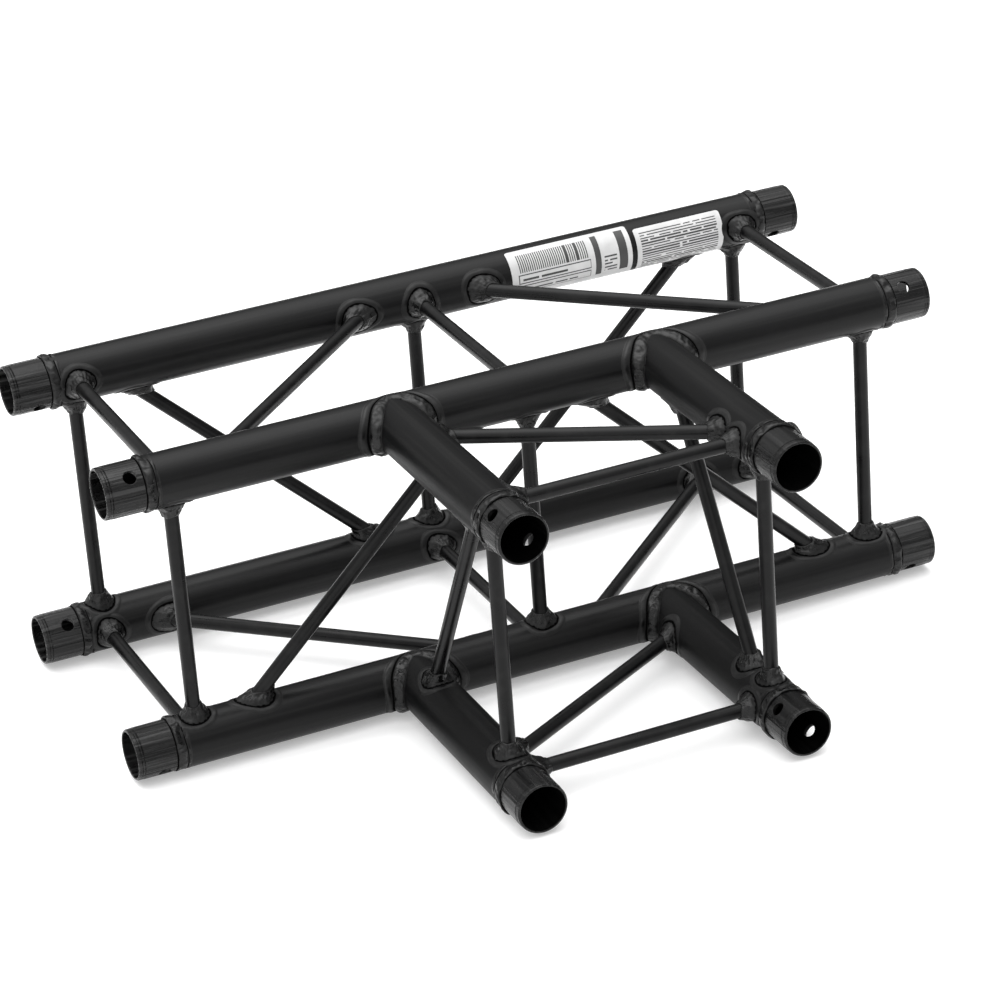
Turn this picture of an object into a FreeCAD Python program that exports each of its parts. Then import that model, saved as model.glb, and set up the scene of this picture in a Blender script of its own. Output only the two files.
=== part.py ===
import FreeCAD, Part
import math
import os
import Sketcher

# Three-way T junction of square lighting truss, welded from aluminium tube and painted black.
# Four long tubes (the main run) lie along X. Four short tubes (the branch) leave the main run's
# front side towards -Y. Round bars brace every face, and each of the twelve tube ends carries a
# turned coupler with a tapered socket and a cross hole for a tapered pin.
#
# Frame: millimetres, +X along the main run, -Y along the branch, +Z up. The origin is under the
# middle of the whole outline, at the height of the lowest weld, where the junction stands.

SIZES = [
    ("main_length", 583.0, "main run, coupler tip to coupler tip"),
    ("branch_reach", 291.5, "main run's centre line to the branch's coupler tips"),
    ("chord_spacing", 185.0, "centre to centre of neighbouring chords"),
    ("chord_dia", 35.0, "outside of a chord tube"),
    ("chord_wall", 1.6, "wall of a chord tube"),
    ("brace_dia", 9.5, "round bar of posts, bars and diagonals"),
    ("coupler_length", 31.0, "coupler outside its tube, tip to tube end"),
    ("coupler_undercut", 0.4, "coupler's surface below the tube's, on the radius"),
    ("coupler_shank", 14.0, "coupler inside its tube"),
    ("shank_clearance", 0.1, "coupler's shank in the tube, on the radius"),
    ("rim_chamfer", 0.8, "outer edge of the coupler's tip"),
    ("rim_step", 4.5, "length of the turned-down band at the tip"),
    ("rim_step_depth", 0.2, "depth of that band, on the radius"),
    ("socket_wall", 1.9, "coupler's wall round the mouth of its socket"),
    ("socket_land", 4.5, "straight part of the socket at its mouth"),
    ("socket_depth", 38.0, "tip to the end of the socket's taper"),
    ("socket_taper", 2.0, "radius lost over the taper"),
    ("pin_hole_dia", 8.5, "cross hole for the tapered pin"),
    ("pin_setback", 18.0, "tip to the centre of the cross hole"),
    ("weld_proud", 1.5, "ring and saddle welds above the tube's surface"),
    ("ring_front", 4.5, "ring weld from the joint towards the tip"),
    ("ring_back", 4.5, "ring weld from the joint inwards, main run"),
    ("branch_ring_back", 7.0, "ring weld from the joint inwards, branch"),
    ("ring_crown", 4.0, "flat top of a ring weld"),
    ("saddle_bead_dia", 10.0, "bead round each branch tube where it meets the main run"),
    ("weld_foot_dia", 19.0, "foot of the weld at a brace's end"),
    ("weld_top_dia", 11.0, "top of that weld, round the brace"),
    ("weld_rise", 11.0, "height of that weld above the chord's surface"),
    ("weld_sink", 3.0, "how far that weld's foot follows the tube round"),
    ("post_gap", 0.5, "ring weld to the foot of the nearest brace weld"),
    ("diagonal_from_post", 24.0, "outer end of a main diagonal, inwards from the end post"),
    ("branch_diagonal_gap", 4.3, "along a branch chord, post's weld foot to the diagonal's"),
    ("diagonal_from_node", 28.0, "inner end of a diagonal, from the middle post or the front chord"),
    ("branch_top_bar_shift", 5.0, "branch's top end bar, inwards from the posts"),
    ("label_thickness", 0.25, "printed film label"),
    ("label_margin_deg", 2.0, "label's lower edge above the feet of the welds below it, in degrees"),
    ("long_label_top_deg", 75.0, "long label's top edge, up round the tube from its front"),
    ("short_label_top_deg", 58.0, "short label's top edge, up round the tube from its front"),
    ("short_label_from_post", 14.5, "short label's outer end, inwards from the end post"),
    ("short_label_length", 67.0, "short label along the tube"),
    ("label_gap", 4.0, "bare tube between the two labels"),
    ("long_label_length", 92.0, "long label along the tube"),
]

# Formulas of the sizes, used both to bind the objects and to place them.
CHORD_RADIUS = "Sizes.chord_dia / 2"
BORE_RADIUS = "(Sizes.chord_dia / 2 - Sizes.chord_wall)"
COUPLER_RADIUS = "(Sizes.chord_dia / 2 - Sizes.coupler_undercut)"
STEP_RADIUS = "(Sizes.chord_dia / 2 - Sizes.coupler_undercut - Sizes.rim_step_depth)"
SHANK_RADIUS = "(Sizes.chord_dia / 2 - Sizes.chord_wall - Sizes.shank_clearance)"
MOUTH_RADIUS = "(Sizes.chord_dia / 2 - Sizes.coupler_undercut - Sizes.socket_wall)"
RELIEF_RADIUS = "(Sizes.chord_dia / 2 - Sizes.coupler_undercut - Sizes.socket_wall - Sizes.socket_taper)"
REST_RADIUS = "(Sizes.chord_dia / 2 + Sizes.weld_proud)"
COUPLER_TOTAL = "(Sizes.coupler_length + Sizes.coupler_shank)"
WELD_FOOT = "Sizes.weld_foot_dia / 2"
END_POST = (
    "(Sizes.main_length / 2 - Sizes.coupler_length - Sizes.ring_back"
    " - Sizes.weld_foot_dia / 2 - Sizes.post_gap)"
)
BRANCH_POST = (
    "(Sizes.branch_reach - Sizes.coupler_length - Sizes.branch_ring_back"
    " - Sizes.weld_foot_dia / 2 - Sizes.post_gap)"
)
BRANCH_BAR = BRANCH_POST + " - Sizes.branch_top_bar_shift"
MAIN_OUTER = END_POST + " - Sizes.diagonal_from_post"
MAIN_INNER = "Sizes.diagonal_from_node"
BRANCH_INNER = "(Sizes.chord_spacing / 2 + Sizes.diagonal_from_node)"
SURFACE_SHARE = "(Sizes.chord_dia / 2 / Sizes.chord_spacing)"
# A leaning brace's weld foot is longer along the chord, by one over the sine of its slope.
BRANCH_LEAN = "sqrt(1 + ((" + BRANCH_POST + " - " + BRANCH_INNER + ") / Sizes.chord_spacing) ^ 2)"
BRANCH_LANDING = (
    "(" + BRANCH_POST + " - Sizes.branch_diagonal_gap - " + WELD_FOOT + " * (1 + " + BRANCH_LEAN + "))"
)
BRANCH_OUTER = (
    "((" + BRANCH_LANDING + " - " + SURFACE_SHARE + " * " + BRANCH_INNER + ") / (1 - " + SURFACE_SHARE + "))"
)
LABEL_LOW_EDGE = "(asin(Sizes.weld_foot_dia / Sizes.chord_dia) - 90 deg + Sizes.label_margin_deg * 1 deg)"
MAIN_RUN = "(" + MAIN_OUTER + " - " + MAIN_INNER + ")"
BRANCH_RUN = "(" + BRANCH_OUTER + " - " + BRANCH_INNER + ")"

# Side of each chord: across (+1 is back in the main run and right in the branch), then up.
MAIN_CHORDS = {"top_back": (1, 1), "top_front": (-1, 1), "bottom_back": (1, -1), "bottom_front": (-1, -1)}
BRANCH_CHORDS = {"top_left": (-1, 1), "top_right": (1, 1), "bottom_left": (-1, -1), "bottom_right": (1, -1)}

# Faces of the main run: first chord, second chord, and whether diagonals leave the first near the middle.
MAIN_FACES = {
    "top": ("top_back", "top_front", True),
    "back": ("top_back", "bottom_back", False),
    "front": ("top_front", "bottom_front", True),
    "bottom": ("bottom_back", "bottom_front", False),
}
# Faces of the branch: first chord, second chord, and whether the diagonal leaves the first near the run.
BRANCH_FACES = {
    "left": ("top_left", "bottom_left", False),
    "right": ("top_right", "bottom_right", True),
    "top": ("top_left", "top_right", True),
    "bottom": ("bottom_left", "bottom_right", False),
}
END_NAMES = {-1: "left", 1: "right"}

RIGHT = FreeCAD.Vector(1, 0, 0)
BACK = FreeCAD.Vector(0, 1, 0)
UP = FreeCAD.Vector(0, 0, 1)

doc = FreeCAD.newDocument("truss_tee")
sheet = doc.addObject("Spreadsheet::Sheet", "Sizes")
for row, (alias, amount, note) in enumerate(SIZES, start=1):
    sheet.set(f"A{row}", alias)
    sheet.set(f"B{row}", str(amount))
    sheet.set(f"C{row}", note)
    sheet.setAlias(f"B{row}", alias)
doc.recompute()

nodes = []


def number(formula):
    """The value of a formula of the sizes."""
    return float(sheet.evalExpression(formula))


def bind(thing, **formulas):
    """Ties properties of a document object to formulas of the sizes."""
    for name, formula in formulas.items():
        thing.setExpression(name, formula)


def node(thing, label):
    """Gives a finished sub-part its name and puts it on the list to be written."""
    thing.Label = label
    nodes.append(thing)
    return thing


def facing(origin, z_axis, y_axis):
    """A placement at origin whose local Z and Y point along the two given axes."""
    return FreeCAD.Placement(origin, FreeCAD.Rotation(y_axis.cross(z_axis), y_axis, z_axis, "ZYX"))


half_spacing = number("Sizes.chord_spacing / 2")
run_y = number("(Sizes.branch_reach - Sizes.chord_spacing / 2 - " + REST_RADIUS + ") / 2")
middle_z = number("Sizes.chord_spacing / 2 + " + REST_RADIUS)


def main_point(chord, x):
    """The point at x on the centre line of a main chord."""
    across, up = MAIN_CHORDS[chord]
    return FreeCAD.Vector(x, run_y + across * half_spacing, middle_z + up * half_spacing)


def branch_point(chord, reach):
    """The point on a branch chord's centre line at this distance from the main run's centre."""
    across, up = BRANCH_CHORDS[chord]
    return FreeCAD.Vector(across * half_spacing, run_y - reach, middle_z + up * half_spacing)


def origin_plane(body, role):
    """One of the body's own origin planes."""
    return next(item for item in body.Origin.OriginFeatures if item.Role == role)


def new_sketch(body, name, role):
    """An empty sketch on one of the body's origin planes."""
    sketch = body.newObject("Sketcher::SketchObject", name)
    sketch.AttachmentSupport = [(origin_plane(body, role), "")]
    sketch.MapMode = "FlatFace"
    return sketch


def tie_point(sketch, geometry, point, across, along):
    """Holds a sketch point at formulas across and along; '0' holds it on the sketch's own axis."""
    for kind, axis, formula in (("DistanceX", -2, across), ("DistanceY", -1, along)):
        if formula == "0":
            sketch.addConstraint(Sketcher.Constraint("PointOnObject", geometry, point, axis))
            continue
        index = sketch.addConstraint(
            Sketcher.Constraint(kind, -1, 1, geometry, point, number(formula))
        )
        sketch.setExpression(f"Constraints[{index}]", formula)


def outline(sketch, corners):
    """A closed outline of straight edges; each corner is a pair of formulas."""
    points = [FreeCAD.Vector(number(across), number(along), 0) for across, along in corners]
    count = len(points)
    for index in range(count):
        sketch.addGeometry(Part.LineSegment(points[index], points[(index + 1) % count]), False)
    for index in range(count):
        sketch.addConstraint(Sketcher.Constraint("Coincident", index, 2, (index + 1) % count, 1))
    for index, (across, along) in enumerate(corners):
        tie_point(sketch, index, 1, across, along)


def round_hole(sketch, radius, along="0"):
    """A circle on the sketch's vertical axis."""
    centre = FreeCAD.Vector(0, number(along), 0)
    circle = sketch.addGeometry(Part.Circle(centre, FreeCAD.Vector(0, 0, 1), number(radius)), False)
    tie_point(sketch, circle, 3, "0", along)
    index = sketch.addConstraint(Sketcher.Constraint("Radius", circle, number(radius)))
    sketch.setExpression(f"Constraints[{index}]", radius)


def turned_body(name, corners):
    """A body turned about its local Z; corners are (radius, distance along Z)."""
    body = doc.addObject("PartDesign::Body", name)
    profile = new_sketch(body, name + "_profile", "XZ_Plane")
    outline(profile, corners)
    turning = body.newObject("PartDesign::Revolution", name + "_turning")
    turning.Profile = profile
    turning.ReferenceAxis = (profile, ["V_Axis"])
    turning.Angle = 360.0
    return body


def cylinder(name, start, direction, radius, height):
    """A plain cylinder from start along direction, with bound radius and height."""
    thing = doc.addObject("Part::Cylinder", name)
    bind(thing, Radius=radius, Height=height)
    thing.Placement = FreeCAD.Placement(start, FreeCAD.Rotation(UP, direction))
    return thing


def cut(name, base, tool):
    """Base less tool."""
    thing = doc.addObject("Part::Cut", name)
    thing.Base = base
    thing.Tool = tool
    return thing


def group(name, members):
    """Separate solids kept together as one object."""
    thing = doc.addObject("Part::Compound", name)
    thing.Links = members
    return thing


def main_chord(chord):
    """A long tube between the two couplers of a main chord."""
    body = doc.addObject("PartDesign::Body", "main_tube_" + chord)
    section = new_sketch(body, "tube_section_" + chord, "XY_Plane")
    round_hole(section, CHORD_RADIUS)
    round_hole(section, BORE_RADIUS)
    tube = body.newObject("PartDesign::Pad", "tube_" + chord)
    tube.Profile = section
    tube.setExpression("Length", "Sizes.main_length - 2 * Sizes.coupler_length")
    start = main_point(chord, number("Sizes.coupler_length - Sizes.main_length / 2"))
    body.Placement = facing(start, RIGHT, BACK)
    return node(body, "main_chord_" + chord)


def branch_chord(chord, front_envelope):
    """A short tube, coped to sit on the front chord of the main run."""
    reach = "(Sizes.branch_reach - Sizes.chord_spacing / 2 - Sizes.coupler_length)"
    start = branch_point(chord, half_spacing)
    outside = cylinder("outside_" + chord, start, -BACK, CHORD_RADIUS, reach)
    inside = cylinder("inside_" + chord, start, -BACK, BORE_RADIUS, reach)
    tube = cut("blank_" + chord, outside, inside)
    return node(cut("coped_" + chord, tube, front_envelope), "branch_chord_" + chord)


def coupler(label, tip, inward, outward):
    """A turned coupler: rim, tapered socket, shank inside the tube and a cross pin hole.

    Local Z runs from the tip into the tube, and local Y along the pin hole.
    """
    corners = [
        (MOUTH_RADIUS, "0"),
        (STEP_RADIUS + " - Sizes.rim_chamfer", "0"),
        (STEP_RADIUS, "Sizes.rim_chamfer"),
        (STEP_RADIUS, "Sizes.rim_step"),
        (COUPLER_RADIUS, "Sizes.rim_step"),
        (COUPLER_RADIUS, "Sizes.coupler_length"),
        (SHANK_RADIUS, "Sizes.coupler_length"),
        (SHANK_RADIUS, COUPLER_TOTAL),
        (RELIEF_RADIUS, COUPLER_TOTAL),
        (RELIEF_RADIUS, "Sizes.socket_depth"),
        (MOUTH_RADIUS, "Sizes.socket_land"),
    ]
    body = turned_body(label + "_body", corners)
    hole = new_sketch(body, label + "_hole", "XZ_Plane")
    round_hole(hole, "Sizes.pin_hole_dia / 2", "Sizes.pin_setback")
    doc.recompute()
    drilling = body.newObject("PartDesign::Pocket", label + "_drilling")
    drilling.Profile = hole
    drilling.Type = "ThroughAll"
    drilling.Midplane = True
    body.Placement = facing(tip, inward, outward)
    return node(body, label)


def ring_weld(label, joint, inward, back_width):
    """The bead round the joint of coupler and tube; local Z runs from the coupler into the tube."""
    crown = "Sizes.ring_crown / 2"
    front = "Sizes.ring_front"
    corners = [
        (COUPLER_RADIUS, "0"),
        (REST_RADIUS, front + " - " + crown),
        (REST_RADIUS, front + " + " + crown),
        (CHORD_RADIUS, front + " + " + back_width),
        (CHORD_RADIUS, front),
        (COUPLER_RADIUS, front),
    ]
    body = turned_body(label, corners)
    start = joint - inward * number(front)
    sideways = UP.cross(inward)
    body.Placement = facing(start, inward, sideways)
    return body


def half_ellipse_bead(across, bead_radius, long_radius, short_radius):
    """A round bead along half an upright ellipse that leans out along across."""
    ellipse = Part.Ellipse(FreeCAD.Vector(0, 0, 0), long_radius, short_radius)
    spine = Part.Wire([Part.ArcOfEllipse(ellipse, -math.pi / 2, math.pi / 2).toShape()])
    start = FreeCAD.Vector(0, -short_radius, 0)
    section = Part.Wire([Part.makeCircle(bead_radius, start, RIGHT)])
    bead = spine.makePipeShell([section], True, True)
    bead.Placement = FreeCAD.Placement(
        FreeCAD.Vector(0, 0, 0), FreeCAD.Rotation(across, UP, across.cross(UP), "XYZ")
    )
    return bead


def saddle_weld(chord):
    """The bead where a branch tube sits on the front chord.

    Two equal tubes crossing square meet along two upright half ellipses, which share their
    highest and lowest points. The bead follows them and stands proud there by weld_proud.
    """
    radius = number(CHORD_RADIUS)
    bead_radius = number("Sizes.saddle_bead_dia / 2")
    top = number(REST_RADIUS) - bead_radius
    long_radius = radius * math.sqrt(2)
    bead = Part.makeSphere(bead_radius, UP * top)
    bead = bead.fuse(Part.makeSphere(bead_radius, UP * -top))
    for side in (-1, 1):
        across = FreeCAD.Vector(side, -1, 0).normalize()
        bead = bead.fuse(half_ellipse_bead(across, bead_radius, long_radius, top))
    reach = 4 * radius
    bead = bead.cut(Part.makeCylinder(radius, 2 * reach, RIGHT * -reach, RIGHT))
    bead = bead.cut(Part.makeCylinder(radius, 2 * reach, BACK * -reach, BACK))
    thing = doc.addObject("Part::Feature", "saddle_" + chord)
    thing.Shape = max(bead.Solids, key=lambda solid: solid.Volume)
    thing.Placement = FreeCAD.Placement(branch_point(chord, half_spacing), FreeCAD.Rotation())
    return thing


def brace_weld(name, start, direction, slope_length, rise_run, bar, envelope):
    """The conical bead round one end of a brace.

    start is on the chord's centre line and direction runs along the brace. slope_length is the
    brace's length between centre lines and rise_run how far it travels along the chord.
    """
    length = number(slope_length)
    surface = number(CHORD_RADIUS) * length / 2 / half_spacing
    lean = f"({WELD_FOOT} * {rise_run} / Sizes.chord_spacing)"
    sink = number("Sizes.weld_sink + " + lean)
    bead = doc.addObject("Part::Cone", name + "_bead")
    bind(
        bead,
        Radius1=WELD_FOOT,
        Radius2="Sizes.weld_top_dia / 2",
        Height=f"Sizes.weld_sink + {lean} + Sizes.weld_rise",
    )
    bead.Placement = FreeCAD.Placement(
        start + direction * (surface - sink), FreeCAD.Rotation(UP, direction)
    )
    return cut(name, cut(name + "_on_chord", bead, envelope), bar)


def brace(label, start, end, envelopes, length, rise_run, welds):
    """A round bar between two chords, coped to both, and the two welds that hold it."""
    direction = (end - start).normalize()
    bar = cylinder(label + "_bar", start, direction, "Sizes.brace_dia / 2", length)
    node(cut(label + "_coped", bar, group(label + "_copes", envelopes)), label)
    for index, (point, way) in enumerate(((start, direction), (end, -direction))):
        name = f"{label}_weld_{index + 1}"
        welds.append(brace_weld(name, point, way, length, rise_run, bar, envelopes[index]))


def sloping(run):
    """Formula of a brace's length for its travel along the chords."""
    return f"sqrt(Sizes.chord_spacing ^ 2 + {run} ^ 2)"


def main_braces(face, envelopes):
    """Posts or bars at the ends and middle of one face, and its two diagonals."""
    first, second, inner_first = MAIN_FACES[face]
    pair = [envelopes[first], envelopes[second]]
    welds = []
    upright = "bar" if face in ("top", "bottom") else "post"
    for name, side in (("left", -1), ("middle", 0), ("right", 1)):
        place = side * number(END_POST)
        brace(
            f"{face}_{upright}_{name}", main_point(first, place), main_point(second, place),
            pair, "Sizes.chord_spacing", "0", welds,
        )
    places = (number(MAIN_INNER), number(MAIN_OUTER))
    if not inner_first:
        places = places[::-1]
    for side, name in END_NAMES.items():
        brace(
            f"{face}_diagonal_{name}", main_point(first, side * places[0]),
            main_point(second, side * places[1]), pair, sloping(MAIN_RUN), MAIN_RUN, welds,
        )
    node(group("welds_" + face, welds), "brace_welds_" + face)


def branch_braces(face, envelopes, welds):
    """The post or bar near the couplers on one face of the branch, and its diagonal."""
    first, second, inner_first = BRANCH_FACES[face]
    pair = [envelopes[first], envelopes[second]]
    upright = "bar" if face in ("top", "bottom") else "post"
    reach = number(BRANCH_BAR if face == "top" else BRANCH_POST)
    brace(
        f"branch_{face}_{upright}", branch_point(first, reach), branch_point(second, reach),
        pair, "Sizes.chord_spacing", "0", welds,
    )
    reaches = (number(BRANCH_INNER), number(BRANCH_OUTER))
    if not inner_first:
        reaches = reaches[::-1]
    brace(
        f"branch_{face}_diagonal", branch_point(first, reaches[0]), branch_point(second, reaches[1]),
        pair, sloping(BRANCH_RUN), BRANCH_RUN, welds,
    )


def film_label(name, end, length):
    """A printed film label round the front of the top back tube, with its right end at end.

    Angles run round the tube from its front (-Y) upwards. The label's lower edge stays above the
    feet of the welds on the tube's underside.
    """
    sweep = f"Sizes.{name}_label_top_deg * 1 deg - {LABEL_LOW_EDGE}"
    outside = doc.addObject("Part::Cylinder", name + "_outside")
    bind(outside, Radius=CHORD_RADIUS + " + Sizes.label_thickness", Height=length, Angle=sweep)
    inside = doc.addObject("Part::Cylinder", name + "_inside")
    bind(inside, Radius=CHORD_RADIUS, Height=length, Angle=sweep)
    low = math.radians(number(LABEL_LOW_EDGE))
    edge = FreeCAD.Vector(0, -math.cos(low), math.sin(low))
    origin = main_point("top_back", number(end))
    place = FreeCAD.Placement(origin, FreeCAD.Rotation(edge, edge.cross(RIGHT), -RIGHT, "ZXY"))
    outside.Placement = place
    inside.Placement = place
    return node(cut(name + "_film", outside, inside), "label_" + name)


def build_main_run(envelopes):
    """Tubes and couplers of the main run; returns its ring welds by height."""
    rings = {"upper": [], "lower": []}
    for chord, (across, up) in MAIN_CHORDS.items():
        main_chord(chord)
        outward = FreeCAD.Vector(0, across, up).normalize()
        for side, name in END_NAMES.items():
            inward = RIGHT * -side
            tip = main_point(chord, side * number("Sizes.main_length / 2"))
            coupler(f"coupler_{chord}_{name}", tip, inward, outward)
            joint = tip + inward * number("Sizes.coupler_length")
            ring = ring_weld(f"ring_{chord}_{name}", joint, inward, "Sizes.ring_back")
            rings["upper" if up > 0 else "lower"].append(ring)
    for face in MAIN_FACES:
        main_braces(face, envelopes)
    return rings


def build_branch(main_envelopes, envelopes, rings):
    """Tubes, couplers, bars and welds of the branch."""
    saddles = []
    for chord, (across, up) in BRANCH_CHORDS.items():
        height = "top" if up > 0 else "bottom"
        branch_chord(chord, main_envelopes[height + "_front"])
        outward = FreeCAD.Vector(across, 0, up).normalize()
        tip = branch_point(chord, number("Sizes.branch_reach"))
        coupler("coupler_branch_" + chord, tip, BACK, outward)
        joint = tip + BACK * number("Sizes.coupler_length")
        ring = ring_weld("ring_branch_" + chord, joint, BACK, "Sizes.branch_ring_back")
        rings["upper" if up > 0 else "lower"].append(ring)
        saddles.append(saddle_weld(chord))
    welds = []
    for face in BRANCH_FACES:
        branch_braces(face, envelopes, welds)
    node(group("welds_branch", welds), "brace_welds_branch")
    node(group("saddles", saddles), "saddle_welds")


def build():
    """The whole junction."""
    main_envelopes = {}
    for chord in MAIN_CHORDS:
        start = main_point(chord, -number("Sizes.main_length / 2"))
        main_envelopes[chord] = cylinder(
            "envelope_" + chord, start, RIGHT, CHORD_RADIUS, "Sizes.main_length"
        )
    branch_envelopes = {}
    for chord in BRANCH_CHORDS:
        start = branch_point(chord, half_spacing)
        branch_envelopes[chord] = cylinder(
            "envelope_" + chord, start, -BACK, CHORD_RADIUS,
            "Sizes.branch_reach - Sizes.chord_spacing / 2",
        )
    rings = build_main_run(main_envelopes)
    build_branch(main_envelopes, branch_envelopes, rings)
    for height, members in rings.items():
        node(group("rings_" + height, members), "ring_welds_" + height)
    short_end = END_POST + " - Sizes.short_label_from_post"
    film_label("short", short_end, "Sizes.short_label_length")
    film_label(
        "long", short_end + " - Sizes.short_label_length - Sizes.label_gap", "Sizes.long_label_length"
    )


def check():
    """Stops if any object failed or any sub-part's shape is missing or broken."""
    for thing in doc.Objects:
        if "Invalid" in thing.State or "Error" in thing.State:
            raise RuntimeError(f"{thing.Label} did not compute: {thing.State}")
    for thing in nodes:
        if thing.Shape.isNull() or not thing.Shape.isValid() or not thing.Shape.Solids:
            raise RuntimeError(f"{thing.Label} has no valid solid")


def write():
    """Writes each sub-part to its own STEP file."""
    os.makedirs("parts", exist_ok=True)
    for thing in nodes:
        thing.Shape.exportStep(f"parts/{thing.Label}.step")
        print(f"{thing.Label:34s} solids {len(thing.Shape.Solids):2d}  volume {thing.Shape.Volume:10.1f}")
    print("nodes", len(nodes))


build()
doc.recompute()
check()
write()
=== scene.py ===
import math
import bmesh
import bpy
import numpy as np
from mathutils import Matrix, Vector, noise


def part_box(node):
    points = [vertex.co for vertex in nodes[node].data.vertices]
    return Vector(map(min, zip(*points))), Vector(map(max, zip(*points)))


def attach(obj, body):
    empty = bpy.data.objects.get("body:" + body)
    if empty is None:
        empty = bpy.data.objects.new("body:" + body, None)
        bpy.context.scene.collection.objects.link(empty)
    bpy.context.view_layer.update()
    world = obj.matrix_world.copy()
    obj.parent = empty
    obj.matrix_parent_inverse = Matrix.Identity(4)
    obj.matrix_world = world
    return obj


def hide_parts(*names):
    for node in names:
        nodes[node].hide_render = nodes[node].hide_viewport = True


# Looks of a three-way truss junction: black satin paint on tubes and bars, hand-laid weld beads,
# turned couplers and two printed film labels. Metres, in the CAD model's frame.

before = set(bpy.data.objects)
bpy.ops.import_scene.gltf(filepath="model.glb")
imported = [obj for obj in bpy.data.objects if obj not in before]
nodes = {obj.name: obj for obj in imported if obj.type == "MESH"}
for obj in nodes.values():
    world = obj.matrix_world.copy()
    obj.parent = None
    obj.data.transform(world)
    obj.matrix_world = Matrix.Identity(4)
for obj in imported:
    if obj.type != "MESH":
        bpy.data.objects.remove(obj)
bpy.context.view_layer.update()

MM = 0.001


# ---------------------------------------------------------------- reading the CAD frame

def box(name):
    """Lowest and highest corner of a CAD node as arrays."""
    low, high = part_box(name)
    return np.array(low), np.array(high)


def vertices(name):
    """A CAD node's vertices as an array."""
    mesh = nodes[name].data
    flat = np.zeros(len(mesh.vertices) * 3)
    mesh.vertices.foreach_get("co", flat)
    return flat.reshape(-1, 3)


MAIN_CHORDS = ("top_back", "top_front", "bottom_back", "bottom_front")
BRANCH_CHORDS = ("top_left", "top_right", "bottom_left", "bottom_right")
POST_LOW, POST_HIGH = box("front_post_middle")
BAR_RADIUS = (POST_HIGH[0] - POST_LOW[0]) / 2
chord_low, chord_high = box("main_chord_top_back")
TUBE_RADIUS = (chord_high[2] - chord_low[2]) / 2
coupler_low, coupler_high = box("coupler_top_back_left")
COUPLER_RADIUS = (coupler_high[2] - coupler_low[2]) / 2
RIGHT = np.array([1.0, 0.0, 0.0])
FRONT = np.array([0.0, -1.0, 0.0])
UP = np.array([0.0, 0.0, 1.0])


class Chord:
    """A chord's centre line: the point where it starts, its direction and its length."""

    def __init__(self, start, way, length):
        self.start = start
        self.way = way
        self.length = length


def read_chords():
    """The centre lines of the eight chords, tip to tip, from the CAD boxes."""
    lines = {}
    for name in MAIN_CHORDS:
        low, high = box("main_chord_" + name)
        middle = (low + high) / 2
        left = box(f"coupler_{name}_left")[0][0]
        right = box(f"coupler_{name}_right")[1][0]
        lines[name] = Chord(np.array([left, middle[1], middle[2]]), RIGHT, right - left)
    for name in BRANCH_CHORDS:
        low, high = box("branch_chord_" + name)
        middle = (low + high) / 2
        run = lines[name.split("_")[0] + "_front"].start
        tip = box("coupler_branch_" + name)[0][1]
        start = np.array([middle[0], run[1], run[2]])
        lines[name] = Chord(start, FRONT, run[1] - tip)
    return lines


chords = read_chords()


def brace_line(name):
    """A point on a brace's axis and the axis's direction, from the CAD mesh."""
    low, high = box(name)
    middle = (low + high) / 2
    offsets = vertices(name) - middle
    rough = np.linalg.svd(offsets, full_matrices=False)[2][0]
    span = np.sqrt(np.maximum((offsets ** 2).sum(1) - BAR_RADIUS ** 2, 0))
    way = np.linalg.lstsq(offsets, np.sign(offsets @ rough) * span, rcond=None)[0]
    return middle, way / np.linalg.norm(way)


# Lines count as parallel below this sine, and as meeting when they pass this close.
PARALLEL = 0.1
MEETING_GAP = 0.5 * MM


def crossing(point, way, chord):
    """Where the line meets a chord's centre line, or None."""
    across = np.cross(way, chord.way)
    if np.linalg.norm(across) < PARALLEL:
        return None
    across /= np.linalg.norm(across)
    gap = chord.start - point
    if abs(gap @ across) > MEETING_GAP:
        return None
    side = np.cross(chord.way, across)
    reach = (gap @ side) / (way @ side)
    found = point + way * reach
    along = (found - chord.start) @ chord.way
    return found if 0 <= along <= chord.length else None


# ---------------------------------------------------------------- meshes

def ring_faces(rows, columns, first):
    """Quads between neighbouring rows of points, where each row is a closed ring."""
    faces = []
    for row in range(rows - 1):
        for column in range(columns):
            after = (column + 1) % columns
            a = first + row * columns + column
            b = first + row * columns + after
            faces.append((a, b, b + columns, a + columns))
    return faces


# Faces whose mean painted crevice shade is above this get the groove's near-black paint: painted shade.
GROOVE_SHADE = 0.8


def weld_piece(name, grids, paints, replaced):
    """One smooth object from grids of rings (rows, columns, 3), each with its painted crevice shade.

    paints gives its material and the near-black one that paints shade into its grooves.
    """
    points = []
    faces = []
    shades = []
    for grid, shade in grids:
        rows, columns, _ = grid.shape
        faces += ring_faces(rows, columns, len(points))
        points += grid.reshape(-1, 3).tolist()
        shades.append(shade.ravel())
    mesh = bpy.data.meshes.new(name)
    mesh.from_pydata(points, [], faces)
    shade = np.concatenate(shades).astype(np.float32)
    # The crevice values are painted shade: they darken the weld paint in creases, grooves and valleys.
    painted_crevice_shade = mesh.attributes.new("painted_crevice_shade", "FLOAT", "POINT")
    painted_crevice_shade.data.foreach_set("value", shade)
    # The darkest faces get the near-black groove paint: painted shade.
    deep = shade[np.array(faces)].mean(axis=1) > GROOVE_SHADE
    for material in paints:
        mesh.materials.append(material)
    mesh.polygons.foreach_set("material_index", deep.astype(np.int32))
    mesh.polygons.foreach_set("use_smooth", [True] * len(mesh.polygons))
    add_piece(name, mesh, replaced)


def add_piece(name, mesh, replaced):
    """An object of the mesh that rides on the frame and stands for this CAD node."""
    piece = bpy.data.objects.new(name, mesh)
    bpy.context.scene.collection.objects.link(piece)
    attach(piece, "root")
    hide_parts(replaced)


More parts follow.
